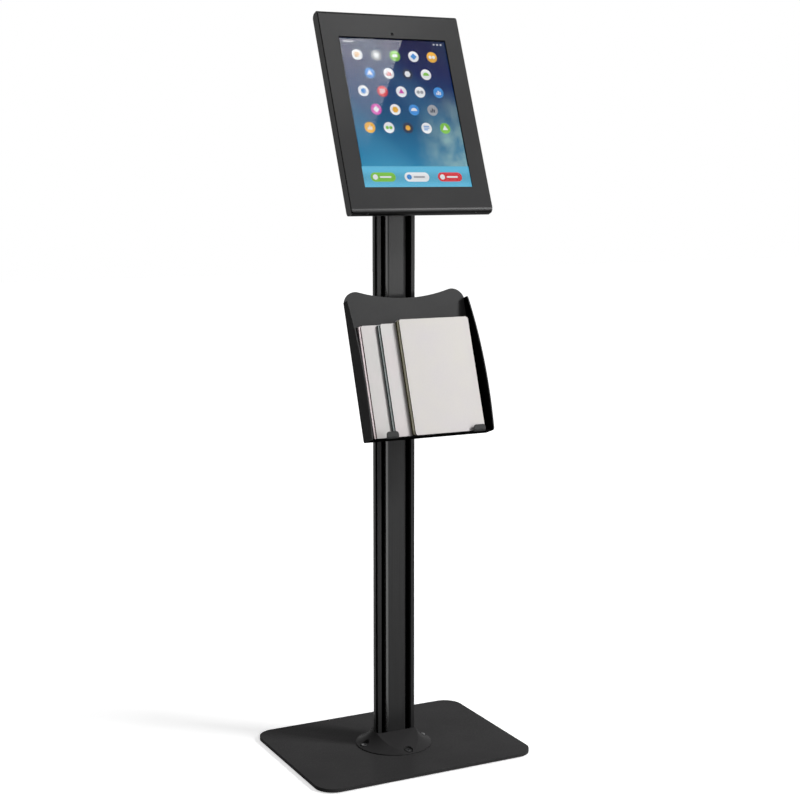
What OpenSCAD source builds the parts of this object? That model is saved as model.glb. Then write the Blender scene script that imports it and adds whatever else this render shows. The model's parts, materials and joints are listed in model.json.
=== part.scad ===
// Tablet security kiosk on a floor stand, with a brochure tray on its column.
// Millimetres. +Z is up, -Y is the front, +X is the viewer's right.
// The origin is on the floor, under the column's axis.

/* [Base] */
// Width of the base plate, left to right
base_w = 305; // [260:1:420]
// Depth of the base plate, front to back
base_d = 229; // [190:1:350]
// Thickness of the base plate
base_t = 4.5; // [3.5:0.5:8]
// Distance of the base plate's centre behind the column's axis
base_y = 2.4; // [0:0.1:30]
// Corner radius of the base plate
base_corner_r = 25; // [8:1:45]
// Diameter of a rubber foot pad
foot_d = 24; // [12:1:36]
// Thickness of a foot pad
foot_t = 1.5; // [1:0.5:5]
// Distance from a foot pad's centre to the plate's edges
foot_inset = 27; // [22:1:45]
// Diameter of the pad under the middle, which covers the column's bolts
centre_pad_d = 70; // [64:1:90]

/* [Collar] */
// Radius of the collar's rim
collar_r = 50; // [49:0.5:64]
// Thickness of the collar at its rim
collar_rim_t = 1.2; // [0.8:0.1:2]
// Height of the collar above the base plate
collar_h = 18.5; // [12:0.5:26]
// Width of the collar's top edge round the column
collar_lip = 2.6; // [1.5:0.1:5]
// Radius of the collar's hollow flare, seen from the side
collar_flare_r = 42; // [30:1:90]
// Radius of the circle that the collar screws stand on
collar_screw_circle_r = 42.5; // [40.5:0.5:43]
// Thickness of the collar under a screw head
collar_seat_t = 1.6; // [1:0.1:2]
// Radius of a collar screw's recess
collar_recess_r = 6; // [5.2:0.1:6.4]

/* [Column] */
// Width of the column
col_w = 53; // [50:0.5:64]
// Depth of the column's flat-sided front, ahead of its round back
col_front = 8; // [7.8:0.1:12]
// Height of the column's top above the floor
col_top = 815.5; // [700:0.5:1000]
// Thickness of the column's walls
col_wall = 2.2; // [1.8:0.1:3]
// Radius of the front panel's long edges
panel_edge_r = 5; // [2:0.5:6]
// Width of each front slot at its mouth
slot_w = 6.6; // [6:0.1:8]
// Depth of each front slot's mouth, ahead of its wider cavity
slot_neck = 8; // [7.5:0.1:9]
// Depth of each front slot's cavity
slot_cavity_d = 4.5; // [4:0.1:6]
// Overhang of the slot's edges over its cavity, on each side
slot_undercut = 2.7; // [2:0.1:3.2]
// Thickness of the lip between a front slot and a side groove
lip_t = 1.4; // [1:0.1:2]
// Width of each side groove
groove_w = 5; // [3:0.1:5.2]
// Depth of each side groove
groove_d = 2.5; // [1:0.1:3]
// Outer radius of the screw channels inside the column
channel_r = 4.2; // [3.8:0.1:4.6]
// How far the front screw channel sinks into the front panel
front_channel_sink = 1.4; // [1:0.1:1.8]
// How far the other screw channels sink into the column's walls
channel_sink = 0.4; // [0.3:0.1:0.8]
// Distance from the middle to the two side screw channels
channel_x = 10.5; // [9:0.1:11]

/* [Tilt hinge] */
// Distance of the tilt axis behind the column's axis
pivot_y = 7.5; // [6.5:0.1:9]
// Height of the tilt axis above the column's top
pivot_rise = 27.5; // [26:0.5:45]
// Thickness of the plate on the column's top
cap_t = 4; // [3.5:0.5:6]
// Thickness of each yoke ear
ear_t = 4; // [3:0.5:5]
// Radius of a yoke ear round the tilt axis
ear_r = 9.5; // [8.6:0.1:10]
// Distance between the yoke ears
yoke_gap = 33; // [31:0.5:34]
// Radius of the tilt bolt
tilt_bolt_r = 4; // [3:0.1:5]
// Thickness of the tilt bolt's head
tilt_head_h = 5.3; // [4:0.1:7]
// Thickness of the tilt nut
tilt_nut_h = 6.5; // [4:0.1:9]
// Thickness of a friction washer
washer_t = 0.9; // [0.5:0.1:1.5]
// Outer radius of a friction washer
washer_r = 8.5; // [6:0.1:8.6]
// Outer radius of the hinge knuckle on the head
knuckle_r = 9; // [7:0.1:9.5]
// Thickness of the web between the knuckle and the head plate
knuckle_web = 14.4; // [8:0.1:14.6]
// Thickness of the plate that the head hangs on
head_plate_t = 3; // [2:0.5:4]
// Width of the head plate
head_plate_w = 76; // [66:1:120]
// Height of the head plate
head_plate_h = 58; // [54:1:80]
// Distance of the head plate's lower edge below the tilt axis
head_plate_drop = 14; // [12:0.5:16]
// Distance of the head plate's screws from its edges
head_screw_inset = 9; // [7:0.5:12]

/* [Case] */
// Lean of the case, back from upright
head_tilt = 22; // [0:1:50]
// Distance from the tablet's sides to the case's sides
case_side = 11.75; // [10.5:0.25:30]
// Distance from the tablet's ends to the case's ends
case_end = 12; // [10.5:0.5:30]
// Depth of the case
case_d = 17; // [16:0.5:24]
// Distance from the tilt axis to the case's back
pivot_back = 17.8; // [17.5:0.1:30]
// Distance of the case's centre below the tilt axis
head_drop = 28.1; // [10:0.1:60]
// Radius of the case's bent edges
case_edge_r = 6; // [4:0.5:7]
// Thickness of the case's steel sheet
sheet_t = 1.5; // [1:0.1:2]
// Depth of the cover's upper and lower returns
return_d = 10.4; // [9:0.1:11]
// Gap at the seams between cover and shell
seam_gap = 0.8; // [0.5:0.1:1.2]
// Distance of the screen's centre below the case's centre
screen_shift = 1; // [0:0.5:3]
// Radius of the camera hole in the cover
camera_hole_r = 2; // [1.2:0.1:3]
// Distance from the case's centre to each cover screw, left and right
cover_screw_x = 74; // [45:1:85]
// Distance of the cover screws behind the case's face
cover_screw_depth = 5.6; // [5.2:0.1:6]
// Distance of a cover screw's face inside the case's underside
cover_screw_recess = 0.3; // [0:0.1:0.6]
// Radius of a cover screw
cover_screw_r = 1.5; // [1.2:0.1:1.6]
// Width of a cover screw's nut
cover_nut_w = 6; // [5:0.1:7]
// Depth of a cover screw's nut
cover_nut_d = 5.4; // [5:0.1:6]
// Height of a cover screw's nut
cover_nut_h = 2.4; // [2:0.1:2.8]
// Distance from the case's centre to each cover hinge, left and right
cover_hinge_x = 60; // [30:1:75]
// Length of each knuckle of a cover hinge
cover_knuckle_l = 12; // [8:0.5:16]
// Outer radius of a cover hinge
cover_hinge_r = 2.6; // [2.2:0.1:3]
// Radius of a cover hinge's pin
cover_pin_r = 1.25; // [1:0.05:1.4]

/* [Tablet] */
// Width of the tablet
tablet_w = 169.5; // [165:0.5:172]
// Height of the tablet
tablet_h = 240; // [230:0.5:242]
// Thickness of the tablet, glass included
tablet_t = 7.5; // [6.5:0.1:8]
// Corner radius of the tablet
tablet_corner_r = 10; // [6:0.5:14]
// Thickness of the tablet's glass
glass_t = 0.9; // [0.7:0.1:1.2]
// Distance of the glass's edge inside the tablet's edge
glass_inset = 0.5; // [0.2:0.1:1]
// Gap between the cover and the tablet's glass
glass_gap = 0.5; // [0.3:0.1:0.8]
// Width of the picture on the display
screen_w = 147.8; // [140:0.1:150]
// Height of the picture on the display
screen_h = 197.1; // [190:0.1:199]
// Border of the display panel round its picture
panel_border = 1.6; // [1:0.1:1.7]
// Thickness of the display panel
panel_t = 1.2; // [0.8:0.1:2]
// Distance of the camera above the tablet's centre
camera_rise = 104; // [103.5:0.1:106]
// Radius of the camera lens
camera_r = 1.7; // [1:0.1:1.8]
// Width of a tablet key, across the tablet's edge
key_w = 2.2; // [1.8:0.1:2.6]
// Length of the power key
power_key_l = 10; // [7:0.5:14]
// Length of the volume key
volume_key_l = 20; // [14:0.5:26]
// How far a key stands out of the tablet's edge
key_proud = 0.6; // [0.5:0.1:0.9]
// How deep a key sits in the tablet's edge
key_sink = 0.9; // [0.6:0.1:1.5]
// Travel of a key
key_travel = 0.4; // [0.2:0.1:0.4]
// Length of a foam pad
pad_l = 30; // [16:1:40]

/* [Tray] */
// Lean of the tray, back from upright
tray_tilt = 19; // [5:1:25]
// Distance of the tray's plate ahead of the column's axis, at its middle
tray_y = 62.6; // [58:0.1:80]
// Height of the tray's middle above the floor
tray_z = 511.5; // [350:0.5:530]
// Width of the tray
tray_w = 170; // [164:1:230]
// Distance of the tray's foot below its middle, at the plate
tray_low = 86.5; // [80:0.5:110]
// Distance of the tray's crests above its middle
tray_high = 103; // [95:0.5:130]
// Depth of the dip between the crests
tray_dip = 10; // [4:0.5:16]
// Radius of the tray's upper corners
tray_corner_r = 17; // [12:0.5:19]
// Thickness of the tray's steel sheet
tray_t = 1.5; // [1.2:0.1:2]
// Greatest depth of the tray's walls
wall_d = 26.8; // [26:0.1:45]
// Distance of the walls' tops above the tray's middle
wall_high = 90; // [80:0.5:92]
// Radius of the walls' upper front corners
wall_tip_r = 3; // [1:0.5:5]
// Radius of the walls' lower front corners and of the tabs' bends
wall_corner_r = 4; // [2.5:0.5:4]
// Radius of the walls' curved front edges
wall_edge_r = 431; // [300:1:600]
// Height of the walls' greatest depth, from the tray's middle
wall_full_z = -30; // [-50:1:-10]
// Radius of the bend between the tray's plate and its shelf
shelf_bend_r = 3; // [1:0.5:3]
// Distance from the middle between the front tabs to each tab
tab_x = 60.5; // [40:0.5:66]
// Distance of the middle between the tabs from the tray's centre, to the right
tab_shift = 4.2; // [0:0.1:6]
// Width of a front tab
tab_w = 16; // [12:0.5:24]
// Height of a front tab above the shelf
tab_h = 7; // [6:0.5:10]
// Width of the tray's bracket
bracket_w = 57; // [56:0.5:70]
// Thickness of the bracket's steel sheet
bracket_t = 3; // [2:0.5:4]
// Upper end of the bracket above the tray's middle
bracket_high = 60; // [52:1:70]
// Lower end of the bracket below the tray's middle
bracket_low = 10; // [8:1:30]
// Height of the lower tray screws above the tray's middle
tray_screw_low = 9; // [8:0.5:14]
// Height of the upper tray screws above the tray's middle
tray_screw_high = 48; // [34:0.5:48]
// Distance from the bracket's centre to the tray screws, sideways
tray_screw_x = 16; // [8:0.5:18]

/* [Brochures] */
// Width of a brochure
brochure_w = 99; // [80:1:104]
// Height of the two rear brochures
brochure_h = 143; // [110:1:150]
// Height of the front brochure
front_brochure_h = 146; // [110:1:152]
// Thickness of each rear brochure
brochure_t = 5; // [3:0.5:7]
// Thickness of the front brochure
front_brochure_t = 6.5; // [3:0.5:8]
// Corner radius of a brochure
brochure_corner_r = 3; // [1:0.5:6]
// Left edge of the rear brochure, left of the tray's centre
brochure_left = 72.5; // [60:0.5:78]
// Step from one brochure's left edge to the next, to the right
brochure_step = 24.5; // [10:0.5:27]

/* [Fasteners] */
// Radius of a machine screw's shank in the stand
screw_r = 2.4; // [2:0.1:2.6]
// Radius of a machine screw's head
screw_head_r = 4.4; // [3.8:0.1:4.6]
// Height of a machine screw's head
screw_head_h = 2.2; // [1.6:0.1:2.3]
// Length of the screws in the column's ends
end_screw_l = 26; // [14:1:40]
// Radius of the small screws that hold the head and the tray
small_screw_r = 1.9; // [1.5:0.1:2.1]
// Radius of a small screw's head
small_head_r = 3.7; // [3:0.1:4]
// Height of a small screw's head
small_head_h = 1.8; // [1.2:0.1:2]

// Radius of a socket's corners, as a part of the screw's radius
socket_part = 0.66; // [0.5:0.02:0.7]
// Radius of a hexagon's corners, as a multiple of the bolt's radius
hex_part = 1.85; // [1.7:0.05:2]

/* [Clearances] */
// Gap between pieces that move past each other
move_clear = 0.3; // [0.25:0.05:0.4]
// Radial clearance of a pin that turns in a bore
fit_clear = 0.05; // [0.02:0.01:0.08]
// Gap behind each brochure
brochure_gap = 0.5; // [0.4:0.1:0.8]
// Gap between fixed pieces that lie side by side
seat_clear = 0.1; // [0.05:0.05:0.2]

/* [Hidden] */
$fn = 64;
coat = [0.24, 0.24, 0.24];
coat_dark = [0.19, 0.19, 0.2];
steel = [0.62, 0.62, 0.63];

// Heights of the stand
plate_top = foot_t + base_t;
pivot_z = col_top + pivot_rise;

// Column section: +X half of one front slot and its cavity
slot_x1 = col_w / 2 - col_wall - slot_undercut;
slot_x0 = slot_x1 - slot_w;
slot_x = (slot_x0 + slot_x1) / 2;
cavity_w = slot_w + 2 * slot_undercut;
cavity_y0 = slot_neck - col_front;
cavity_y1 = cavity_y0 + slot_cavity_d;
chamber_y0 = cavity_y1 + col_wall;
channels = [
    [0, col_wall + channel_r - front_channel_sink - col_front],
    [channel_x, chamber_y0 + channel_r - channel_sink],
    [-channel_x, chamber_y0 + channel_r - channel_sink],
    [0, col_w / 2 - col_wall - channel_r + channel_sink]
];

// Case, in the head's frame: upright, with the tilt axis through the origin
case_w = tablet_w + 2 * case_side;
case_h = tablet_h + 2 * case_end;
case_back = -pivot_back;
case_face = case_back - case_d;
case_low = -head_drop - case_h / 2;
case_high = -head_drop + case_h / 2;
shell_front = case_face + sheet_t + seam_gap;
seam_y = case_face + return_d;
cover_axis_y = seam_y + seam_gap / 2;
flange_z = case_low + sheet_t + move_clear + seat_clear;
flange_front = case_face + case_edge_r - sqrt(pow(case_edge_r - sheet_t - move_clear, 2)
    - pow(case_edge_r - sheet_t - move_clear - seat_clear, 2));
cover_screw_y = case_face + cover_screw_depth;
inner_half_w = case_w / 2 - sheet_t;
inner_back = case_back - sheet_t;

// Tablet, in the head's frame
screen_z = -head_drop - screen_shift;
glass_front = case_face + sheet_t + glass_gap;
body_front = glass_front + glass_t;
tablet_back = glass_front + tablet_t;
panel_w = screen_w + 2 * panel_border;
panel_h = screen_h + 2 * panel_border;
key_y = (body_front + tablet_back) / 2;
key_room = key_sink + key_travel + move_clear;
power_key_x = tablet_w / 2 - 2 * power_key_l;
volume_key_z = tablet_h / 2 - 2 * volume_key_l + screen_z;

// Head plate, in the head's frame
head_screws = [
    for (sx = [-1, 1], up = [0, 1])
        [sx * (head_plate_w / 2 - head_screw_inset),
         up ? head_plate_h - head_plate_drop - head_screw_inset : head_screw_inset - head_plate_drop]
];
knuckle_half = yoke_gap / 2 - washer_t - 2 * move_clear;

// Tray, in its own frame: the plate's front lies in the XZ plane
shelf_z = -tray_low;
shelf_d = wall_d - wall_edge_r + sqrt(pow(wall_edge_r, 2) - pow(shelf_z + wall_corner_r - wall_full_z, 2));
dip_low = tray_high - tray_dip;
crest_x = tray_w / 2 - tray_corner_r;
crest_z = tray_high - tray_corner_r;
dip_r = (crest_x * crest_x + pow(dip_low - crest_z, 2) - pow(tray_corner_r, 2))
    / (2 * (tray_corner_r - (dip_low - crest_z)));
dip_tangent_x = crest_x * dip_r / (dip_r + tray_corner_r);

// Bracket, in the stand's frame
bracket_back = -col_front - move_clear;
clamp_zs = [for (part = [0.25, 0.75]) tray_z - bracket_low + part * (bracket_high + bracket_low)];

// Shared shapes and frames

module in_head() {
    translate([0, pivot_y, pivot_z]) rotate([-head_tilt, 0, 0]) children();
}

module in_tray() {
    translate([0, -tray_y, tray_z]) rotate([-tray_tilt, 0, 0]) children();
}

// Stands a drawing of (y, z) up and gives it a length along X, centred
module along_x(length) {
    rotate([90, 0, 90]) linear_extrude(height = length, center = true) children();
}

// Stands a drawing of (x, z) up between two depths
module between_y(front, back) {
    translate([0, back, 0]) rotate([90, 0, 0]) linear_extrude(height = back - front) children();
}

module round_rect(w, h, r) {
    square([w - 2 * r, h], center = true);
    square([w, h - 2 * r], center = true);
    for (sx = [-1, 1], sy = [-1, 1])
        translate([sx * (w / 2 - r), sy * (h / 2 - r)]) circle(r = r);
}

module x_cylinder(r, x0, x1) {
    translate([x0, 0, 0]) rotate([0, 90, 0]) cylinder(r = r, h = x1 - x0);
}

module block(lo, hi) {
    translate(lo) cube(hi - lo);
}

// Flush screw, standing on its tip: its head's top face is at the origin
module flush_screw(r, head_r, length) {
    translate([0, 0, -length]) cylinder(r = r, h = length);
    translate([0, 0, -(head_r - r)]) cylinder(r1 = r, r2 = head_r, h = head_r - r);
}

function arc(centre, r, from, to, steps) =
    [for (i = [0:steps]) centre + r * [cos(from + (to - from) * i / steps), sin(from + (to - from) * i / steps)]];

// Point (y, z) of the stand that lies d ahead of the tray's plate and v up along it
function tray_point(d, v) = [
    -tray_y - d * cos(tray_tilt) + v * sin(tray_tilt),
    tray_z + d * sin(tray_tilt) + v * cos(tray_tilt)
];

// Base

module base_outline() {
    translate([0, base_y]) round_rect(base_w, base_d, base_corner_r);
}

module collar_screw_places() {
    for (turn = [0:90:270]) rotate([0, 0, turn]) translate([0, -collar_screw_circle_r, 0]) children();
}

module base_plate() {
    color(coat_dark) difference() {
        translate([0, 0, foot_t]) linear_extrude(height = base_t) base_outline();
        for (p = channels) translate([p[0], p[1], foot_t]) mirror([0, 0, 1])
            flush_screw(screw_r + seat_clear, screw_head_r + seat_clear, base_t + 1);
        collar_screw_places() cylinder(r = screw_r + fit_clear, h = plate_top + 1);
    }
}

module base_feet() {
    color([0.1, 0.1, 0.1])
        for (sx = [-1, 1], sy = [-1, 1])
            translate([sx * (base_w / 2 - foot_inset), base_y + sy * (base_d / 2 - foot_inset), 0])
                cylinder(d = foot_d, h = foot_t);
    color([0.1, 0.1, 0.1]) cylinder(d = centre_pad_d, h = foot_t);
}

// Rim and top ends of the flare, and the middle of the circle through both
flare_a = [collar_r, collar_rim_t];
flare_b = [col_w / 2 + collar_lip, collar_h];
flare_half = norm(flare_b - flare_a) / 2;
flare_out = [flare_b[1] - flare_a[1], flare_a[0] - flare_b[0]] / (2 * flare_half);
flare_c = (flare_a + flare_b) / 2 + flare_out * sqrt(pow(collar_flare_r, 2) - pow(flare_half, 2));

function angle_to(p) = atan2(p[1], p[0]);

module collar_flare() {
    from = angle_to(flare_a - flare_c);
    to = angle_to(flare_b - flare_c);
    rotate_extrude($fn = 128) polygon(concat(
        [[0, 0], [collar_r, 0]],
        arc(flare_c, collar_flare_r, from, to - (to > from ? 360 : 0), 12),
        [[0, collar_h]]
    ));
}

// Space above the collar's sloping front
module collar_slope_cut() {
    along_x(2 * collar_r + 2) polygon([
        [-col_front, collar_h], [-collar_r, collar_rim_t],
        [-collar_r - 1, collar_rim_t], [-collar_r - 1, collar_h + 1], [-col_front, collar_h + 1]
    ]);
}

module base_collar() {
    color(coat_dark) translate([0, 0, plate_top]) difference() {
        collar_flare();
        collar_slope_cut();
        translate([0, 0, -1]) linear_extrude(height = collar_h + 2) column_outline(seat_clear);
        collar_screw_places() {
            translate([0, 0, collar_seat_t]) cylinder(r = collar_recess_r, h = collar_h);
            translate([0, 0, -1]) cylinder(r = screw_r + seat_clear, h = collar_h);
        }
    }
}

module collar_screws() {
    color(steel) collar_screw_places() translate([0, 0, plate_top + collar_seat_t]) {
        difference() {
            cylinder(r = screw_head_r, h = screw_head_h);
            translate([0, 0, screw_head_h / 2]) cylinder(r = screw_r * socket_part, h = screw_head_h, $fn = 6);
        }
        translate([0, 0, -collar_seat_t - base_t]) cylinder(r = screw_r, h = collar_seat_t + base_t);
    }
}

// Column

// Outline of the column, let out by a margin
module column_outline(margin) {
    w = col_w + 2 * margin;
    translate([-w / 2, -col_front - margin]) square([w, col_front + margin]);
    difference() {
        circle(d = w, $fn = 128);
        translate([-w, -w]) square([2 * w, w]);
    }
}

// Rounded front panel between the slots
module front_panel() {
    r = panel_edge_r;
    translate([-slot_x0 + r, -col_front]) square([2 * (slot_x0 - r), col_front + cavity_y0 + 1]);
    translate([-slot_x0, -col_front + r]) square([2 * slot_x0, col_front - r + cavity_y0]);
    for (sx = [-1, 1]) translate([sx * (slot_x0 - r), -col_front + r]) circle(r = r);
}

module slot_mouth() {
    translate([slot_x0 - slot_w, -col_front - 1]) square([2 * slot_w, slot_neck + 1]);
}

module slot_cavity() {
    translate([slot_x - cavity_w / 2, cavity_y0]) square([cavity_w, slot_cavity_d]);
}

module chamber_space() {
    difference() {
        union() {
            difference() {
                circle(r = col_w / 2 - col_wall, $fn = 128);
                translate([-col_w, chamber_y0 - 2 * col_w]) square([2 * col_w, 2 * col_w]);
            }
            neck = slot_x - cavity_w / 2 - col_wall;
            translate([-neck, col_wall - col_front]) square([2 * neck, chamber_y0 + col_front - col_wall + 1]);
        }
        for (p = channels) translate(p) circle(r = channel_r);
    }
}

module column_section() {
    groove_y = lip_t - col_front;
    difference() {
        union() {
            difference() {
                column_outline(0);
                for (sx = [0, 1]) mirror([sx, 0]) slot_mouth();
            }
            front_panel();
        }
        for (sx = [0, 1]) mirror([sx, 0]) {
            slot_cavity();
            translate([col_w / 2 - groove_d, groove_y]) square([groove_d + 1, groove_w]);
        }
        chamber_space();
        for (p = channels) translate(p) circle(r = screw_r + fit_clear);
    }
}

module column() {
    color(coat) translate([0, 0, plate_top]) linear_extrude(height = col_top - plate_top) column_section();
}

module column_bolts() {
    color(steel)
        for (p = channels) translate([p[0], p[1], foot_t]) mirror([0, 0, 1])
            flush_screw(screw_r, screw_head_r, end_screw_l);
}

// Tilt hinge

module tilt_yoke() {
    color(coat_dark) difference() {
        union() {
            translate([0, 0, col_top]) linear_extrude(height = cap_t) column_outline(0);
            for (sx = [-1, 1]) translate([sx * (yoke_gap + ear_t) / 2, 0, 0]) along_x(ear_t) {
                translate([pivot_y, pivot_z]) circle(r = ear_r);
                translate([pivot_y - ear_r, col_top + cap_t / 2]) square([2 * ear_r, pivot_rise - cap_t / 2]);
            }
        }
        translate([0, pivot_y, pivot_z]) x_cylinder(tilt_bolt_r + fit_clear, -col_w, col_w);
        for (p = channels) translate([p[0], p[1], col_top + cap_t])
            flush_screw(screw_r + seat_clear, screw_head_r + seat_clear, cap_t + 1);
    }
}

module yoke_screws() {
    color(steel)
        for (p = channels) translate([p[0], p[1], col_top + cap_t])
            flush_screw(screw_r, screw_head_r, end_screw_l);
}

// Places on the tilt axis, outside the yoke's ears
yoke_out = yoke_gap / 2 + ear_t;

module tilt_bolt() {
    color(steel) translate([0, pivot_y, pivot_z]) {
        x_cylinder(tilt_bolt_r, -yoke_out - seat_clear, yoke_out + tilt_nut_h + 2);
        rotate([0, 90, 0]) translate([0, 0, -yoke_out - seat_clear - tilt_head_h])
            cylinder(r = tilt_bolt_r * hex_part, h = tilt_head_h, $fn = 6);
    }
}

module tilt_nut() {
    color(steel) translate([yoke_out + seat_clear, pivot_y, pivot_z]) rotate([0, 90, 0]) difference() {
        cylinder(r = tilt_bolt_r * hex_part, h = tilt_nut_h, $fn = 6);
        translate([0, 0, -1]) cylinder(r = tilt_bolt_r + fit_clear, h = tilt_nut_h + 2);
    }
}

module friction_washers() {
    color([0.8, 0.78, 0.7]) translate([0, pivot_y, pivot_z])
        for (sx = [0, 1]) mirror([sx, 0, 0]) difference() {
            x_cylinder(washer_r, yoke_gap / 2 - move_clear - washer_t, yoke_gap / 2 - move_clear);
            x_cylinder(tilt_bolt_r + fit_clear, 0, yoke_gap);
        }
}

module head_plate() {
    z_mid = head_plate_h / 2 - head_plate_drop;
    color(coat_dark) in_head() difference() {
        union() {
            between_y(case_back, case_back + head_plate_t)
                translate([0, z_mid]) round_rect(head_plate_w, head_plate_h, head_screw_inset / 2);
            x_cylinder(knuckle_r, -knuckle_half, knuckle_half);
            along_x(2 * knuckle_half) translate([case_back + head_plate_t / 2, -knuckle_web / 2])
                square([pivot_back - head_plate_t / 2, knuckle_web]);
        }
        x_cylinder(tilt_bolt_r + fit_clear, -col_w, col_w);
        head_screw_holes();
    }
}

module head_screw_holes() {
    for (p = head_screws) translate([p[0], case_back + head_plate_t + 1, p[1]]) rotate([90, 0, 0])
        cylinder(r = small_screw_r + fit_clear, h = head_plate_t + sheet_t + 2);
}

module head_screws() {
    color(steel) in_head() for (p = head_screws) translate([p[0], 0, p[1]]) {
        between_y(inner_back, case_back + head_plate_t) circle(r = small_screw_r);
        between_y(inner_back - small_head_h, inner_back) circle(r = small_head_r);
    }
}

// Case

// Side view of the case as (y, z), let in by a margin
module case_outline(margin) {
    translate([(case_face + case_back) / 2, -head_drop])
        round_rect(case_d - 2 * margin, case_h - 2 * margin, case_edge_r - margin);
}

module cover_hinge_places() {
    for (sx = [-1, 1]) translate([sx * cover_hinge_x, cover_axis_y, case_high]) children();
}

// Room that one half of a cover hinge needs in the other half's sheet
module hinge_notch(x0, x1) {
    r = cover_hinge_r + move_clear;
    block([x0 - move_clear, -r, -r], [x1 + move_clear, r, r]);
}

module shell_sheets() {
    difference() {
        along_x(case_w) case_outline(0);
        along_x(2 * inner_half_w) case_outline(sheet_t);
        block([-case_w, case_face - 1, case_low - 1], [case_w, shell_front, case_high + 1]);
        block([-inner_half_w, case_face - 1, case_low - 1], [inner_half_w, seam_y + seam_gap, case_high + 1]);
    }
    intersection() {
        block([-inner_half_w, flange_front, flange_z], [inner_half_w, case_back, flange_z + sheet_t]);
        along_x(case_w) case_outline(sheet_t / 2);
    }
}

module cover_screw_slots() {
    half = cover_screw_r + 2 * move_clear;
    for (sx = [-1, 1]) translate([sx * cover_screw_x, 0, flange_z - 1]) {
        block([-half, shell_front, 0], [half, cover_screw_y, sheet_t + 2]);
        translate([0, cover_screw_y, 0]) cylinder(r = half, h = sheet_t + 2);
    }
}

module rear_shell() {
    half = cover_knuckle_l / 2;
    color(coat) in_head() difference() {
        union() {
            difference() {
                shell_sheets();
                cover_hinge_places() hinge_notch(-half, half);
            }
            cover_hinge_places() for (side = [0, 1]) mirror([side, 0, 0])
                x_cylinder(cover_hinge_r, half + move_clear, half + cover_knuckle_l / 2);
        }
        cover_hinge_places() x_cylinder(cover_pin_r + fit_clear, -2 * half - 1, 2 * half + 1);
        cover_screw_slots();
        head_screw_holes();
    }
}

module cover_hinge_pins() {
    color(steel) in_head() cover_hinge_places() x_cylinder(cover_pin_r, -cover_knuckle_l, cover_knuckle_l);
}

module cover_sheets() {
    edge = inner_half_w - move_clear;
    difference() {
        along_x(case_w) difference() {
            case_outline(0);
            case_outline(sheet_t);
        }
        block([-case_w, seam_y, case_low - 1], [case_w, 0, case_high + 1]);
        for (sx = [0, 1]) mirror([sx, 0, 0])
            block([edge, case_face + sheet_t, case_low - 1], [case_w, 0, case_high + 1]);
        block([-screen_w / 2, case_face - 1, screen_z - screen_h / 2],
              [screen_w / 2, case_face + sheet_t + 1, screen_z + screen_h / 2]);
        translate([0, 0, screen_z + camera_rise]) between_y(case_face - 1, case_face + sheet_t + 1)
            circle(r = camera_hole_r);
    }
}

module front_cover() {
    half = cover_knuckle_l / 2;
    color(coat) in_head() difference() {
        union() {
            difference() {
                cover_sheets();
                cover_hinge_places() for (side = [0, 1]) mirror([side, 0, 0]) hinge_notch(half, 2 * half);
            }
            cover_hinge_places() x_cylinder(cover_hinge_r, -half, half);
        }
        cover_hinge_places() x_cylinder(cover_pin_r + fit_clear, -2 * half - 1, 2 * half + 1);
        for (sx = [-1, 1]) translate([sx * cover_screw_x, cover_screw_y, case_low - 1])
            cylinder(r = cover_screw_r + fit_clear, h = sheet_t + 2);
    }
}

cover_nut_z = flange_z + sheet_t + move_clear;

module cover_screws() {
    color([0.12, 0.12, 0.12]) in_head() for (sx = [-1, 1])
        translate([sx * cover_screw_x, cover_screw_y, case_low + cover_screw_recess]) difference() {
            cylinder(r = cover_screw_r, h = cover_nut_z + 2 * cover_screw_r - case_low);
            translate([0, 0, -1]) cylinder(r = cover_screw_r * socket_part, h = 2, $fn = 6);
        }
}

module cover_nuts() {
    color(steel) in_head() for (sx = [-1, 1])
        translate([sx * cover_screw_x, cover_screw_y, cover_nut_z]) difference() {
            block([-cover_nut_w / 2, -cover_nut_d / 2, 0], [cover_nut_w / 2, cover_nut_d / 2, cover_nut_h]);
            translate([0, 0, -1]) cylinder(r = cover_screw_r + fit_clear, h = cover_nut_h + 2);
        }
}

module back_pads() {
    x = tablet_w / 2 - pad_l / 2;
    z = tablet_h / 2 - pad_l / 2;
    color([0.13, 0.13, 0.13]) in_head()
        for (sx = [-1, 1], sz = [-1, 1]) translate([sx * x, 0, screen_z + sz * z])
            between_y(tablet_back + seat_clear, inner_back) round_rect(pad_l, pad_l, pad_l / 10);
}

// Foam strip between the tablet's edge and the case, as x and z limits
module edge_pad(x0, x1, z0, z1) {
    block([x0, body_front, z0], [x1, case_back - case_edge_r, z1]);
}

module edge_pads() {
    x0 = tablet_w / 2 + seat_clear;
    x1 = inner_half_w - seat_clear;
    z_low = flange_z + sheet_t + seat_clear;
    z0 = screen_z - tablet_h / 2 - seat_clear;
    z1 = screen_z + tablet_h / 2 + seat_clear;
    z_high = case_high - sheet_t - cover_hinge_r - move_clear;
    color([0.13, 0.13, 0.13]) in_head() for (sx = [0, 1]) mirror([sx, 0, 0]) {
        edge_pad(x0, x1, screen_z - tablet_h / 3 - pad_l, screen_z - tablet_h / 3);
        edge_pad(x0, x1, screen_z, screen_z + pad_l);
        edge_pad(pad_l / 2, 1.5 * pad_l, z_low, z0);
        edge_pad(-pad_l / 4, pad_l / 4, z1, z_high);
    }
}

// Tablet

module key_space(length, depth, gap) {
    block([-length / 2 - gap, key_y - key_w / 2 - gap, -depth], [length / 2 + gap, key_y + key_w / 2 + gap, key_proud]);
}

module power_key_place() {
    translate([power_key_x, 0, screen_z + tablet_h / 2]) children();
}

module volume_key_place() {
    translate([tablet_w / 2, 0, volume_key_z]) rotate([0, 90, 0]) children();
}

module tablet_outline(margin) {
    translate([0, screen_z]) round_rect(tablet_w - 2 * margin, tablet_h - 2 * margin, tablet_corner_r - margin);
}

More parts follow.
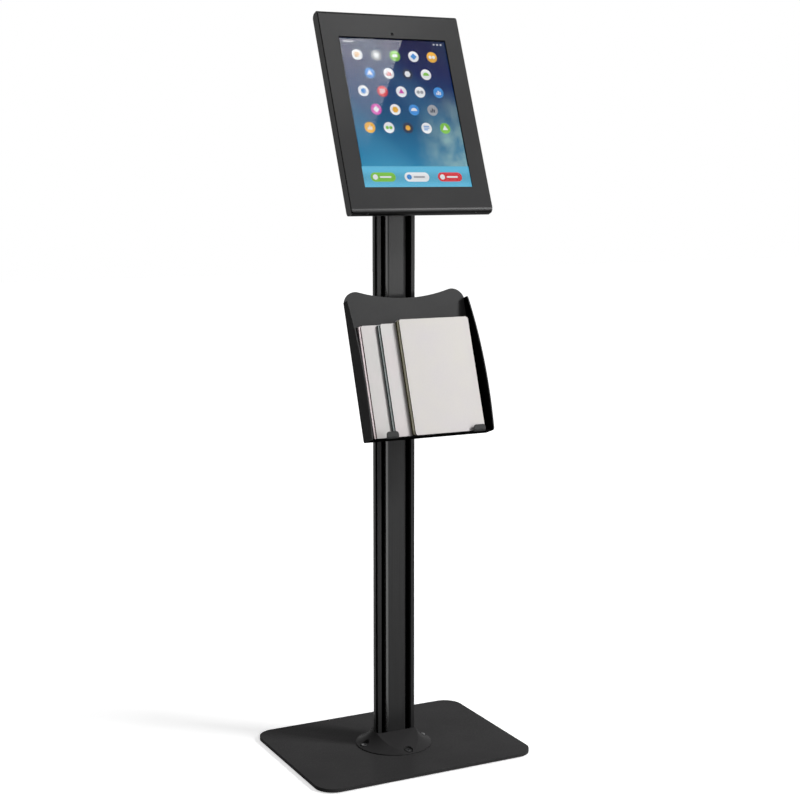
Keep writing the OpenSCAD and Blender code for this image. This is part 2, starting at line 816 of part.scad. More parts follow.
module tablet_body() {
    color([0.2, 0.2, 0.21]) in_head() difference() {
        between_y(body_front, tablet_back) tablet_outline(0);
        translate([0, 0, screen_z]) between_y(body_front - 1, body_front + panel_t + seat_clear)
            square([panel_w + 2 * seat_clear, panel_h + 2 * seat_clear], center = true);
        translate([0, 0, screen_z + camera_rise]) between_y(body_front - 1, body_front + panel_t + seat_clear)
            circle(r = camera_r + seat_clear);
        power_key_place() key_space(power_key_l, key_room, move_clear);
        volume_key_place() key_space(volume_key_l, key_room, move_clear);
    }
}

module tablet_display() {
    color([0.1, 0.35, 0.6]) in_head() translate([0, 0, screen_z])
        between_y(body_front, body_front + panel_t) square([panel_w, panel_h], center = true);
}

module tablet_glass() {
    color([0.6, 0.7, 0.75, 0.4]) in_head() between_y(glass_front, body_front) tablet_outline(glass_inset);
}

module tablet_camera() {
    color([0.05, 0.05, 0.06]) in_head() translate([0, 0, screen_z + camera_rise])
        between_y(body_front, body_front + panel_t) circle(r = camera_r);
}

module power_key() {
    color([0.2, 0.2, 0.21]) in_head() power_key_place() key_space(power_key_l, key_sink, 0);
}

module volume_key() {
    color([0.2, 0.2, 0.21]) in_head() volume_key_place() key_space(volume_key_l, key_sink, 0);
}

// Tray

module tray_plate_outline() {
    difference() {
        union() {
            translate([-tray_w / 2, shelf_z]) square([tray_w, crest_z - shelf_z]);
            translate([-dip_tangent_x, 0]) square([2 * dip_tangent_x, tray_high]);
            for (sx = [-1, 1]) translate([sx * crest_x, crest_z]) circle(r = tray_corner_r, $fn = 96);
            for (sx = [-1, 1]) translate([sx * crest_x, crest_z / 2])
                square([2 * (tray_corner_r - 1), crest_z], center = true);
        }
        translate([0, dip_low + dip_r]) circle(r = dip_r, $fn = 180);
    }
}

// Side view of a tray wall as (y, z): deep at the foot, running out below the crests
module tray_wall_outline() {
    corner = [wall_corner_r - shelf_d, shelf_z + wall_corner_r];
    bulge = [wall_edge_r - wall_d, wall_full_z];
    reach = wall_edge_r - wall_tip_r;
    tip_z = wall_high - wall_tip_r;
    tip_angle = 180 - asin((tip_z - wall_full_z) / reach);
    tip = [bulge[0] - sqrt(pow(reach, 2) - pow(tip_z - wall_full_z, 2)), tip_z];
    tip_step = (tip_angle - 90) / 5;
    low_angle = 180 + asin((wall_full_z - corner[1]) / wall_edge_r);
    polygon(concat(
        [[tray_t, shelf_z], [tray_t, wall_high]],
        arc(tip, wall_tip_r, 90, tip_angle - tip_step, 4),
        arc(bulge, wall_edge_r, tip_angle, low_angle, 16),
        arc(corner, wall_corner_r, low_angle, 270, 6)
    ));
}

// Front view of a tab above its bend
module tray_tab() {
    r = tab_h / 2;
    low = shelf_z + wall_corner_r;
    high = shelf_z + tray_t + tab_h;
    translate([r - tab_w / 2, low]) square([tab_w - 2 * r, high - low]);
    translate([-tab_w / 2, low]) square([tab_w, high - r - low]);
    for (sx = [-1, 1]) translate([sx * (tab_w / 2 - r), high - r]) circle(r = r);
}

// Side view of the bend from the shelf to a tab, as (y, z)
module tab_bend() {
    intersection() {
        translate([wall_corner_r - shelf_d, shelf_z + wall_corner_r]) difference() {
            circle(r = wall_corner_r);
            circle(r = wall_corner_r - tray_t);
        }
        translate([-shelf_d, shelf_z]) square(wall_corner_r);
    }
}

// What the bend between plate and shelf leaves free outside it, as (y, z)
module shelf_bend_space() {
    translate([tray_t - shelf_bend_r, shelf_z]) difference() {
        translate([0, -1]) square(shelf_bend_r + 1);
        translate([0, shelf_bend_r]) circle(r = shelf_bend_r);
    }
}

module tray_screw_places() {
    for (sx = [-1, 1], v = [tray_screw_low, tray_screw_high]) translate([sx * tray_screw_x, 0, v]) children();
}

module tray() {
    color(coat) in_tray() difference() {
        union() {
            between_y(0, tray_t) tray_plate_outline();
            for (sx = [-1, 1]) translate([sx * (tray_w - tray_t) / 2, 0, 0]) along_x(tray_t) tray_wall_outline();
            block([-tray_w / 2, wall_corner_r - shelf_d, shelf_z], [tray_w / 2, tray_t, shelf_z + tray_t]);
            for (sx = [-1, 1]) translate([tab_shift + sx * tab_x, 0, 0]) {
                between_y(-shelf_d, tray_t - shelf_d) tray_tab();
                along_x(tab_w) tab_bend();
            }
        }
        along_x(2 * tray_w) shelf_bend_space();
        tray_screw_places() between_y(-1, tray_t + 1) circle(r = small_screw_r + fit_clear);
    }
}

// Wedge between the column's front and the tray's plate, let in by the sheet's thickness
module bracket_outline(margin) {
    back = bracket_back - margin;
    d = -tray_t - seat_clear - margin;
    high = tray_point(d, bracket_high);
    low = tray_point(d, -bracket_low);
    over = margin > 0 ? bracket_high : 0;
    top = high + over * [sin(tray_tilt), cos(tray_tilt)];
    foot = low - over * [sin(tray_tilt), cos(tray_tilt)];
    polygon([top, [back, top[1]], [back, foot[1]], foot]);
}

module tray_bracket() {
    color(coat_dark) difference() {
        along_x(bracket_w) bracket_outline(0);
        along_x(bracket_w - 2 * bracket_t) bracket_outline(bracket_t);
        clamp_places() between_y(bracket_back - bracket_t - 1, bracket_back + 1) circle(r = screw_r + fit_clear);
        in_tray() tray_screw_places()
            between_y(0, tray_t + seat_clear + bracket_t + 1) circle(r = small_screw_r + fit_clear);
    }
}

module tray_screws() {
    inner = tray_t + seat_clear + bracket_t;
    color(steel) in_tray() tray_screw_places() {
        between_y(0, inner) circle(r = small_screw_r);
        between_y(inner, inner + small_head_h) circle(r = small_head_r);
    }
}

module clamp_places() {
    for (sx = [-1, 1], z = clamp_zs) translate([sx * slot_x, 0, z]) children();
}

module clamp_screws() {
    color(steel) clamp_places() {
        between_y(bracket_back - bracket_t, cavity_y1 - 2 * move_clear) circle(r = screw_r);
        between_y(bracket_back - bracket_t - screw_head_h, bracket_back - bracket_t) circle(r = screw_head_r);
    }
}

module slot_nut_outline() {
    neck_w = slot_w - 2 * move_clear;
    nut_w = cavity_w - 2 * move_clear;
    translate([-nut_w / 2, cavity_y0 + move_clear]) square([nut_w, slot_cavity_d - 2 * move_clear]);
    translate([-neck_w / 2, cavity_y0 - slot_neck / 4]) square([neck_w, slot_neck / 4 + slot_cavity_d / 2]);
}

module slot_nuts() {
    z0 = clamp_zs[0] - 2 * screw_head_r;
    z1 = clamp_zs[1] + 2 * screw_head_r;
    color(steel) difference() {
        for (sx = [-1, 1]) translate([sx * slot_x, 0, z0]) linear_extrude(height = z1 - z0) slot_nut_outline();
        clamp_places() between_y(-col_front, cavity_y1) circle(r = screw_r + fit_clear);
    }
}

// Brochures

// A brochure, counted from the tray's plate, standing on the shelf
module brochure(place, height, thickness) {
    back = -brochure_gap - place * (brochure_t + brochure_gap);
    front = back - thickness;
    foot_z = shelf_z + tray_t + move_clear;
    x = -brochure_left + place * brochure_step + brochure_w / 2;
    in_tray() translate([x, 0, foot_z + height / 2]) between_y(front, back)
        round_rect(brochure_w, height, brochure_corner_r);
}

module brochure_rear() {
    color([0.84, 0.81, 0.81]) brochure(0, brochure_h, brochure_t);
}

module brochure_middle() {
    color([0.83, 0.82, 0.81]) brochure(1, brochure_h, brochure_t);
}

module brochure_front() {
    color([0.85, 0.84, 0.81]) brochure(2, front_brochure_h, front_brochure_t);
}

base_plate();
base_feet();
base_collar();
collar_screws();
column();
column_bolts();
tilt_yoke();
yoke_screws();
tilt_bolt();
tilt_nut();
friction_washers();
head_plate();
head_screws();
rear_shell();
cover_hinge_pins();
back_pads();
edge_pads();
front_cover();
cover_screws();
cover_nuts();
tablet_body();
tablet_display();
tablet_glass();
tablet_camera();
power_key();
volume_key();
tray();
tray_bracket();
tray_screws();
clamp_screws();
slot_nuts();
brochure_rear();
brochure_middle();
brochure_front();
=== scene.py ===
# Looks of the tablet kiosk stand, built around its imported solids. Metres, +Z up, -Y to the front.
import json
import math

import bmesh
import bpy
from mathutils import Matrix, Vector


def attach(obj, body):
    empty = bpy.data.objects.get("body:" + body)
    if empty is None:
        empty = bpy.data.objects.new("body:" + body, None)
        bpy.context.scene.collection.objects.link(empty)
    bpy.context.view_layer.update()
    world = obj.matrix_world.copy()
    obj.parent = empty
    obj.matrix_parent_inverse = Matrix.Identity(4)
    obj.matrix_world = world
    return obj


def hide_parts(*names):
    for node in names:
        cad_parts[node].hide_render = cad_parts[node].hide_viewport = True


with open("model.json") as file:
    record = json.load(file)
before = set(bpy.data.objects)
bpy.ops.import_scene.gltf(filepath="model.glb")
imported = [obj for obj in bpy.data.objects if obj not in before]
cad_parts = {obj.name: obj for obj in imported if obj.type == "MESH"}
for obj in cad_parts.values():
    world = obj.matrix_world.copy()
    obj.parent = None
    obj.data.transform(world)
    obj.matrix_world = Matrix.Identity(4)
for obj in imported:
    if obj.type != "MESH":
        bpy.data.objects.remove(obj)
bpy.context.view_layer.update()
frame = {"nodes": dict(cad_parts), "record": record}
nodes = frame["nodes"]
slot_of = {p["node"]: p["material_slot"] for p in frame["record"]["subparts"]}
scene = bpy.context.scene

MM = 0.001
RIGHT, BACK, UP = Vector((1, 0, 0)), Vector((0, 1, 0)), Vector((0, 0, 1))


def mm(*values):
    """Millimetres as metres."""
    return tuple(v * MM for v in values)


# Frames of the head, of the screen's middle and of the tray, as in the part's source
HEAD = Matrix.Translation(mm(0, 7.5, 843)) @ Matrix.Rotation(math.radians(-22), 4, "X")
SCREEN = HEAD @ Matrix.Translation(mm(0, 0, -29.1))
TRAY = Matrix.Translation(mm(0, -62.6, 511.5)) @ Matrix.Rotation(math.radians(-19), 4, "X")
LENS = HEAD @ Vector(mm(0, -31.9, 74.9))

# Places on the solids, in millimetres
DISPLAY_X, DISPLAY_Z = 75.5, 100.15  # half sizes of the lit display
TRAY_WALL = 83.5  # inner side of the tray's walls, from the middle
TRAY_SHELF, TRAY_LIP = -84.95, -19.95  # top of the tray's shelf, and where its front lip begins
SEAM = -31.6  # joint of the cover with the shell, in the head's depth
SLOT_SIDE, SLOT_SHADE = 24.5, -3.2  # outer limit of the column's slots, and the depth behind which their walls are painted black as shade


# Camera, fitted to the photograph

SENSOR_WIDTH, FOCAL_LENGTH = 36.0, 69.51
CAMERA_PLACE = (-0.8801, -1.7588, 0.7545)
TURN, DIP = math.radians(-26.83), math.radians(8.36)

cam_data = bpy.data.cameras.new("camera")
cam_data.sensor_width = SENSOR_WIDTH
cam_data.lens = FOCAL_LENGTH
cam_data.clip_start = 0.05
cam = bpy.data.objects.new("camera", cam_data)
scene.collection.objects.link(cam)
look = Vector((-math.sin(TURN) * math.cos(DIP), math.cos(TURN) * math.cos(DIP), -math.sin(DIP)))
cam.location = CAMERA_PLACE
cam.rotation_euler = look.to_track_quat("-Z", "Y").to_euler()
scene.camera = cam
scene.view_settings.view_transform = "Standard"


# Shader nodes

NOISE_SPAN = (0.3, 0.7)  # where most values of a noise lie
WHITE = (1.0, 1.0, 1.0, 1.0)
BLACK = (0.004, 0.004, 0.005, 1.0)


def add(tree, kind, props=None, inputs=None):
    """New shader node: props are its settings, inputs are values or sockets to link."""
    n = tree.nodes.new(kind)
    for key, value in (props or {}).items():
        setattr(n, key, value)
    for key, value in (inputs or {}).items():
        if isinstance(value, bpy.types.NodeSocket):
            tree.links.new(value, n.inputs[key])
        else:
            n.inputs[key].default_value = value
    return n


def material(name, **constants):
    """New material: constants are the shader's inputs, with underscores for spaces."""
    m = bpy.data.materials.new(name)
    m.use_nodes = True
    shader = m.node_tree.nodes["Principled BSDF"]
    for key, value in constants.items():
        shader.inputs[key.replace("_", " ")].default_value = value
    return m, m.node_tree, shader


def wire(tree, node, **sockets):
    """Links sockets to a node's inputs, named with underscores for spaces."""
    for key, socket in sockets.items():
        tree.links.new(socket, node.inputs[key.replace("_", " ")])


def coords(tree, stretch=None):
    """Place on the piece; stretch scales it along each axis."""
    place = add(tree, "ShaderNodeTexCoord").outputs["Object"]
    if stretch is None:
        return place
    return add(tree, "ShaderNodeMapping", None, {"Vector": place, "Scale": stretch}).outputs["Vector"]


def noise(tree, vector, scale, detail=2.0, rough=0.5):
    return add(tree, "ShaderNodeTexNoise", None,
               {"Vector": vector, "Scale": scale, "Detail": detail, "Roughness": rough}).outputs["Fac"]


def remap(tree, value, to, over=NOISE_SPAN):
    """Value carried from one span to another, and held at its ends."""
    return add(tree, "ShaderNodeMapRange", None, {
        "Value": value, "From Min": over[0], "From Max": over[1],
        "To Min": to[0], "To Max": to[1]}).outputs["Result"]


def rises(tree, value, over=NOISE_SPAN):
    """0 below a span of values, 1 above it."""
    return remap(tree, value, (0.0, 1.0), over)


def falls(tree, value, over):
    """1 below a span of values, 0 above it."""
    return remap(tree, value, (1.0, 0.0), over)


def maths(tree, op, a, b=0.0):
    return add(tree, "ShaderNodeMath", {"operation": op}, {0: a, 1: b}).outputs[0]


def fold(tree, op, values):
    total = values[0]
    for value in values[1:]:
        total = maths(tree, op, total, value)
    return total


def times(tree, *values):
    return fold(tree, "MULTIPLY", values)


def plus(tree, *values):
    return fold(tree, "ADD", values)


def most(tree, *values):
    return fold(tree, "MAXIMUM", values)


def outside(tree, mask):
    return maths(tree, "SUBTRACT", 1.0, mask)


def absolute(tree, value):
    return maths(tree, "ABSOLUTE", value)


def vectors(tree, op, a, b=(0, 0, 0), output="Value"):
    return add(tree, "ShaderNodeVectorMath", {"operation": op}, {0: a, 1: b}).outputs[output]


def axis(tree, vector, name):
    return add(tree, "ShaderNodeSeparateXYZ", None, {0: vector}).outputs[name]


def along(tree, place, direction):
    """Distance from a frame's origin along one of its own axes."""
    off = vectors(tree, "SUBTRACT", coords(tree), place.translation, "Vector")
    return vectors(tree, "DOT_PRODUCT", off, place.to_3x3() @ direction)


def facing(tree, direction):
    """How far the piece's own surface faces a direction, from -1 to 1."""
    own = add(tree, "ShaderNodeTexCoord").outputs["Normal"]
    return vectors(tree, "DOT_PRODUCT", own, direction)


def seen(tree):
    """1 for what the camera, a mirror or a glass shows, 0 for light that scatters."""
    path = add(tree, "ShaderNodeLightPath")
    return most(tree, *(path.outputs[f"Is {ray} Ray"] for ray in ("Camera", "Glossy", "Transmission")))


def mix(tree, factor, a, b):
    return add(tree, "ShaderNodeMix", {"data_type": "RGBA"}, {0: factor, 6: a, 7: b}).outputs[2]


def scaled(colour, factor=1.0):
    return (*(c * factor for c in colour), 1.0)


def shades(tree, mask, colour, low, high):
    """Colour that goes from one of its own shades to another."""
    return mix(tree, mask, scaled(colour, low), scaled(colour, high))


def ramp(tree, value, first, last, stops):
    """Colours by value: the first at 0, the last at 1, and stops between them."""
    node = add(tree, "ShaderNodeValToRGB", None, {"Fac": value})
    elements = node.color_ramp.elements
    elements[0].color, elements[1].color = scaled(first), scaled(last)
    for at, colour in stops:
        elements.new(at).color = scaled(colour)
    return node.outputs["Color"]


def bump(tree, height, strength, depth, normal=None):
    """Relief of a depth in millimetres."""
    inputs = {"Height": height, "Strength": strength, "Distance": depth * MM}
    if normal is not None:
        inputs["Normal"] = normal
    return add(tree, "ShaderNodeBump", None, inputs).outputs["Normal"]


def soft_edges(tree, radius):
    """Normals that round sharp edges off by a radius in millimetres, and a mask that is 1 along them."""
    bevel = add(tree, "ShaderNodeBevel", {"samples": 4}, {"Radius": radius * MM}).outputs["Normal"]
    flat = add(tree, "ShaderNodeNewGeometry").outputs["Normal"]
    return bevel, falls(tree, vectors(tree, "DOT_PRODUCT", bevel, flat), (0.82, 0.99))


# Materials

def coat(name, colour, rough, grain, peel, edge=0.6, specular=0.0, speckle=0.25, finish=None, **constants):
    """Powder coat: orange peel at the grain's scale, uneven gloss, and rubbed edges."""
    m, t, s = material(name, Specular_IOR_Level=specular, **constants)
    place = coords(t)
    fine = noise(t, place, grain, 3.0)
    cloud = noise(t, place, 9.0, 3.0)
    spots = noise(t, place, 160.0, rough=0.7)
    normal, rim = soft_edges(t, edge)
    tone = shades(t, rises(t, cloud), colour, 0.9, 1.1)
    tone = mix(t, remap(t, fine, (0.0, speckle), (0.45, 0.75)), tone, scaled(colour, 1.5))
    worn = times(t, rim, remap(t, spots, (0.1, 0.75), (0.4, 0.68)))
    tone = mix(t, worn, tone, scaled(colour, 2.1))
    gloss = plus(t, remap(t, fine, (rough - 0.04, rough + 0.05)), remap(t, cloud, (-0.03, 0.03)))
    # A further step may set the gloss, and on the cover, the shell and the tray it paints shade into the tone.
    if finish:
        tone, gloss = finish(t, s, tone, gloss, colour)
    wire(t, s, Base_Color=tone, Roughness=gloss, Normal=bump(t, fine, peel, 0.3, normal))
    return m


def tray_painted_shade(t, s, tone, gloss, colour):
    """Painted shade: black on the inner sides of the walls and on the shelf, where shade falls."""
    x = absolute(t, along(t, TRAY, RIGHT))
    side = absolute(t, facing(t, RIGHT))
    walls = times(t, rises(t, x, mm(TRAY_WALL - 0.2, TRAY_WALL - 0.1)),
                  falls(t, x, mm(TRAY_WALL + 0.1, TRAY_WALL + 0.2)), rises(t, side, (0.8, 0.9)))
    shelf = times(t, falls(t, along(t, TRAY, UP), mm(TRAY_SHELF - 0.05, TRAY_SHELF + 0.05)),
                  falls(t, side, (0.5, 0.6)),
                  rises(t, along(t, TRAY, BACK), mm(TRAY_LIP - 0.25, TRAY_LIP + 0.25)))
    # Painted shade: the inner sides of the walls and the shelf are painted almost black.
    painted_shade = most(t, walls, shelf)
    return mix(t, painted_shade, tone, scaled(colour, 0.06)), plus(t, gloss, times(t, painted_shade, 0.35))


def cover_gloss_and_painted_shade(t, s, tone, gloss, colour):
    """Burnished lower bend, and painted shade: a darker upper bend and top, and a black underside and black cut
    edges.
    """
    turn = HEAD.to_3x3()
    flat, up = facing(t, turn @ -BACK), facing(t, turn @ UP)
    bend = times(t, falls(t, flat, (0.985, 0.998)), rises(t, up, (-0.65, -0.5)), falls(t, up, (-0.05, 0.05)))
    cut = rises(t, absolute(t, facing(t, RIGHT)), (0.8, 0.9))
    wire(t, s, Coat_Weight=plus(t, times(t, bend, 0.5), times(t, outside(t, cut), 0.1)))
    # Painted shade: the underside and the cut edges go black, and what faces up goes darker.
    dark = most(t, cut, remap(t, up, (0.85, 0.0), (-0.8, -0.6)))
    tone = mix(t, remap(t, up, (0.0, 0.6), (0.1, 0.6)), tone, scaled(colour, 0.3))
    return mix(t, dark, tone, scaled(colour, 0.05)), gloss


def shell_gloss_and_painted_seam_shade(t, s, tone, gloss, colour):
    """Satin sides, and painted shade: a black line along the seam with the cover, where the gap between them is in
    shade.
    """
    # Painted shade: a band along the seam is painted black, as the shade in the gap.
    seam = falls(t, along(t, HEAD, BACK), mm(SEAM - 0.2, SEAM + 0.2))
    wire(t, s, Coat_Weight=remap(t, seam, (0.32, 0.0), (0.0, 1.0)))
    return mix(t, seam, tone, scaled(colour, 0.04)), gloss


def collar_finish(t, s, tone, gloss, colour):
    """Faint gloss that grows from the flanks to what faces up."""
    wire(t, s, Coat_Weight=remap(t, facing(t, UP), (0.02, 0.06), (0.55, 0.97)))
    return tone, gloss


def drawn(name, colour, rough, specular):
    """Black anodised extrusion: die lines along its length, rubbed edges, a sheen on its front, its left-hand
    roundings and its back, and painted shade that makes the walls and floors of its slots black."""
    m, t, s = material(name, Specular_IOR_Level=specular, Coat_Roughness=0.22, Coat_IOR=2.0)
    lines = noise(t, coords(t, (1.0, 1.0, 0.004)), 1500.0)
    wide = noise(t, coords(t, (1.0, 1.0, 0.05)), 90.0)
    spots = noise(t, coords(t), 220.0, rough=0.7)
    normal, rim = soft_edges(t, 0.5)
    tone = shades(t, rises(t, lines), colour, 0.86, 1.14)
    tone = mix(t, remap(t, wide, (0.0, 0.4)), tone, scaled(colour, 1.15))
    worn = times(t, rim, remap(t, spots, (0.05, 0.6), (0.42, 0.7)))
    tone = mix(t, worn, tone, scaled(colour, 2.2))
    gloss = plus(t, remap(t, lines, (rough - 0.05, rough + 0.05)), remap(t, wide, (-0.02, 0.03)))

    x, y = absolute(t, axis(t, coords(t), "X")), axis(t, coords(t), "Y")
    side, ahead = absolute(t, facing(t, RIGHT)), facing(t, -BACK)
    # Painted shade: the walls and the floors of the slots are painted almost black, where shade falls in them.
    walls = times(t, falls(t, x, mm(SLOT_SIDE - 0.2, SLOT_SIDE + 0.2)), rises(t, side, (0.9, 0.97)),
                  rises(t, y, mm(SLOT_SHADE - 0.2, SLOT_SHADE + 0.2)))
    bottom = times(t, rises(t, y, mm(SLOT_SHADE + 0.2, SLOT_SHADE + 0.7)), rises(t, ahead, (0.9, 0.97)))
    slots = most(t, walls, bottom)

    left = times(t, remap(t, facing(t, -RIGHT), (0.06, 1.0), (0.15, 0.55)),
                 remap(t, ahead, (0.0, 0.85), (0.0, 0.25)))
    front = times(t, remap(t, ahead, (0.0, 0.085), (0.98, 0.997)), remap(t, x, (1.0, 0.35), mm(16, 20)))
    behind = remap(t, facing(t, BACK), (0.0, 0.13), (0.5, 0.95))
    wire(t, s, Base_Color=mix(t, slots, tone, scaled(colour, 0.1)),
         Roughness=plus(t, gloss, times(t, slots, 0.4)),
         Normal=bump(t, lines, 0.06, 0.2, normal),
         Coat_Weight=times(t, most(t, left, front, behind), outside(t, bottom)))
    return m


def plated(name, colour, rough, metallic=1.0):
    """Plated fastener: fine turning marks, cloudy plating, bright rubbed edges."""
    m, t, s = material(name, Metallic=metallic)
    place = coords(t)
    marks = noise(t, place, 2600.0)
    cloud = noise(t, place, 240.0, 3.0)
    normal, rim = soft_edges(t, 0.3)
    tone = shades(t, rises(t, cloud), colour, 0.75, 1.12)
    wire(t, s, Base_Color=mix(t, times(t, rim, 0.6), tone, scaled(colour, 1.5)),
         Roughness=remap(t, cloud, (rough - 0.08, rough + 0.1)),
         Normal=bump(t, marks, 0.12, 0.1, normal))
    return m


def rubber(name, colour, cell, rough=0.85):
    """Rubber or foam: a matte skin of small cells, with dust."""
    m, t, s = material(name, Specular_IOR_Level=0.25)
    place = coords(t)
    cells = add(t, "ShaderNodeTexVoronoi", None, {"Vector": place, "Scale": cell}).outputs["Distance"]
    dust = noise(t, place, 60.0, 4.0)
    tone = shades(t, rises(t, cells, (0.0, 0.8)), colour, 0.7, 1.3)
    wire(t, s, Base_Color=mix(t, remap(t, dust, (0.0, 0.3), (0.5, 0.75)), tone, scaled(colour, 2.4)),
         Roughness=remap(t, dust, (rough - 0.08, rough + 0.08)),
         Normal=bump(t, cells, 0.35, 0.4))
    return m


def nylon(name, colour):
    """Slightly translucent nylon, unevenly dyed."""
    m, t, s = material(name, Subsurface_Weight=0.15, Subsurface_Scale=MM)
    place = coords(t)
    cloud = noise(t, place, 300.0, 3.0)
    rings = noise(t, place, 1800.0)
    wire(t, s, Base_Color=shades(t, rises(t, cloud), colour, 0.88, 1.05),
         Roughness=remap(t, cloud, (0.4, 0.55)), Normal=bump(t, rings, 0.1, 0.1))
    return m


def blasted(name, colour, rough):
    """Bead-blasted anodised aluminium."""
    m, t, s = material(name, Metallic=0.85)
    place = coords(t)
    beads = noise(t, place, 4200.0, 1.0)
    cloud = noise(t, place, 20.0)
    normal, rim = soft_edges(t, 0.4)
    tone = shades(t, rises(t, beads), colour, 0.85, 1.15)
    wire(t, s, Base_Color=mix(t, times(t, rim, 0.5), tone, scaled(colour, 2.0)),
         Roughness=remap(t, cloud, (rough - 0.04, rough + 0.05)),
         Normal=bump(t, beads, 0.1, 0.1, normal))
    return m


def pane(name):
    """Clear cover glass, black-backed round the display except at the camera, with faint finger smears."""
    m, t, s = material(name, Transmission_Weight=1.0, IOR=1.2)
    smear = noise(t, coords(t, (1.0, 1.0, 0.35)), 38.0, 4.0, 0.6)
    dust = noise(t, coords(t), 700.0)
    tint = mix(t, rises(t, dust, (0.62, 0.72)), (0.98, 0.99, 1.0, 1.0), (0.9, 0.91, 0.92, 1.0))
    x, z = absolute(t, along(t, SCREEN, RIGHT)), absolute(t, along(t, SCREEN, UP))
    border = most(t, rises(t, x, mm(DISPLAY_X - 0.1, DISPLAY_X + 0.2)),
                  rises(t, z, mm(DISPLAY_Z - 0.15, DISPLAY_Z + 0.15)))
    border = times(t, border, rises(t, vectors(t, "DISTANCE", coords(t), LENS), mm(2.2, 2.5)))
    wire(t, s, Base_Color=mix(t, border, tint, BLACK), Roughness=remap(t, smear, (0.0, 0.006), (0.45, 0.7)))
    return m


def lens(name):
    """Coated camera lens: a black middle, a bluish ring and a dark barrel."""
    m, t, s = material(name, Coat_Weight=1.0, Coat_Roughness=0.02, Roughness=0.12)
    reach = rises(t, vectors(t, "DISTANCE", coords(t), LENS), mm(0, 1.8))
    wire(t, s, Base_Color=ramp(t, reach, (0.002, 0.002, 0.003), (0.012, 0.012, 0.013), (
        (0.35, (0.004, 0.005, 0.01)), (0.45, (0.015, 0.022, 0.06)),
        (0.58, (0.006, 0.006, 0.009)), (0.8, (0.03, 0.03, 0.032)))))
    return m


def paper(name, colour, tint):
    """Coated cover stock: faint fibres, slow warm and cool clouds, a soft sheen, and edges painted a little
    lighter as a highlight.
    """
    m, t, s = material(name, Specular_IOR_Level=0.3)
    fibre = noise(t, coords(t, (1.0, 1.0, 0.3)), 900.0, 4.0, 0.6)
    cloud = noise(t, coords(t), 26.0)
    normal, rim = soft_edges(t, 0.3)
    tone = mix(t, rises(t, cloud), scaled(colour), scaled(tint))
    tone = mix(t, remap(t, fibre, (0.0, 0.12), (0.4, 0.7)), tone, scaled(colour, 0.8))
    # Painted highlight: the edges are a little lighter.
    wire(t, s, Base_Color=mix(t, times(t, rim, 0.5), tone, scaled(colour, 1.12)),
         Roughness=remap(t, fibre, (0.5, 0.62)), Normal=bump(t, fibre, 0.06, 0.1, normal))
    return m


def leaves(name, colour):
    """Printed leaves: fibres, and darker lines across the cut edges."""
    lines_per_metre = 5200.0
    m, t, s = material(name, Specular_IOR_Level=0.15, Roughness=0.85)
    across = vectors(t, "DOT_PRODUCT", coords(t), TRAY.to_3x3() @ BACK)
    line = maths(t, "FRACT", times(t, across, lines_per_metre))
    side = remap(t, absolute(t, facing(t, RIGHT)), (0.0, 0.5), (0.5, 0.8))
    grain = noise(t, coords(t), 500.0, 3.0)
    tone = shades(t, rises(t, grain), colour, 1.0, 0.88)
    wire(t, s, Base_Color=mix(t, times(t, rises(t, line, (0.6, 0.95)), side), tone, scaled(colour, 0.4)),
         Normal=bump(t, line, 0.1, 0.1))
    return m


def card_edge(name, colour):
    """Cut edge of dyed cover card."""
    m, t, s = material(name, Specular_IOR_Level=0.2)
    fibre = noise(t, coords(t), 1200.0, 3.0)
    worn = noise(t, coords(t), 70.0, 3.0)
    tone = shades(t, rises(t, fibre), colour, 0.7, 1.3)
    wire(t, s, Base_Color=mix(t, remap(t, worn, (0.0, 0.35), (0.5, 0.72)), tone, scaled(colour, 2.2)),
         Roughness=remap(t, fibre, (0.6, 0.8)), Normal=bump(t, fibre, 0.15, 0.1))
    return m


CASE = dict(colour=(0.045, 0.045, 0.0455), rough=0.42, grain=1500.0, peel=0.08)
BASE = dict(colour=(0.0435, 0.0427, 0.0435), rough=0.26, grain=900.0, peel=0.01, edge=0.8, specular=0.003,
            speckle=0.08)
SLOTS = {
    "case_coat": (coat, dict(CASE, specular=0.07)),
    "base_coat": (coat, BASE),
    # The tray's coat paints shade on the inside of its walls and on its shelf.
    "tray_coat": (coat, dict(CASE, colour=(0.066, 0.066, 0.0665), rough=0.5, finish=tray_painted_shade)),
    "column_black": (drawn, dict(colour=(0.0245, 0.0245, 0.0248), rough=0.34, specular=0.02)),
    "zinc_steel": (plated, dict(colour=(0.55, 0.55, 0.57), rough=0.34)),
    "black_screw": (plated, dict(colour=(0.06, 0.06, 0.062), rough=0.4, metallic=0.4)),
    "foot_rubber": (rubber, dict(colour=(0.02, 0.02, 0.02), cell=900.0)),
    "pad_rubber": (rubber, dict(colour=(0.022, 0.022, 0.023), cell=1500.0, rough=0.9)),
    "washer_plastic": (nylon, dict(colour=(0.7, 0.68, 0.6))),
    "tablet_metal": (blasted, dict(colour=(0.13, 0.13, 0.14), rough=0.38)),
    "tablet_glass": (pane, {}),
    "lens": (lens, {}),
}
mats = {slot: make(slot, **settings) for slot, (make, settings) in SLOTS.items()}
# Solids whose coat differs from the rest of their slot, the cover and the shell with painted shade
own_coats = {
    "front_cover": coat("cover_coat", **CASE, finish=cover_gloss_and_painted_shade, Coat_Roughness=0.24),
    "rear_shell": coat("shell_coat", **CASE, finish=shell_gloss_and_painted_seam_shade, Coat_Roughness=0.35),
    "base_collar": coat("collar_coat", **dict(BASE, colour=(0.034, 0.0333, 0.034)), finish=collar_finish,
                        Coat_Roughness=0.16),
}
for name, obj in nodes.items():
    if slot_of[name] in mats:
        obj.data.materials.clear()
        obj.data.materials.append(own_coats.get(name, mats[slot_of[name]]))


# Shapes

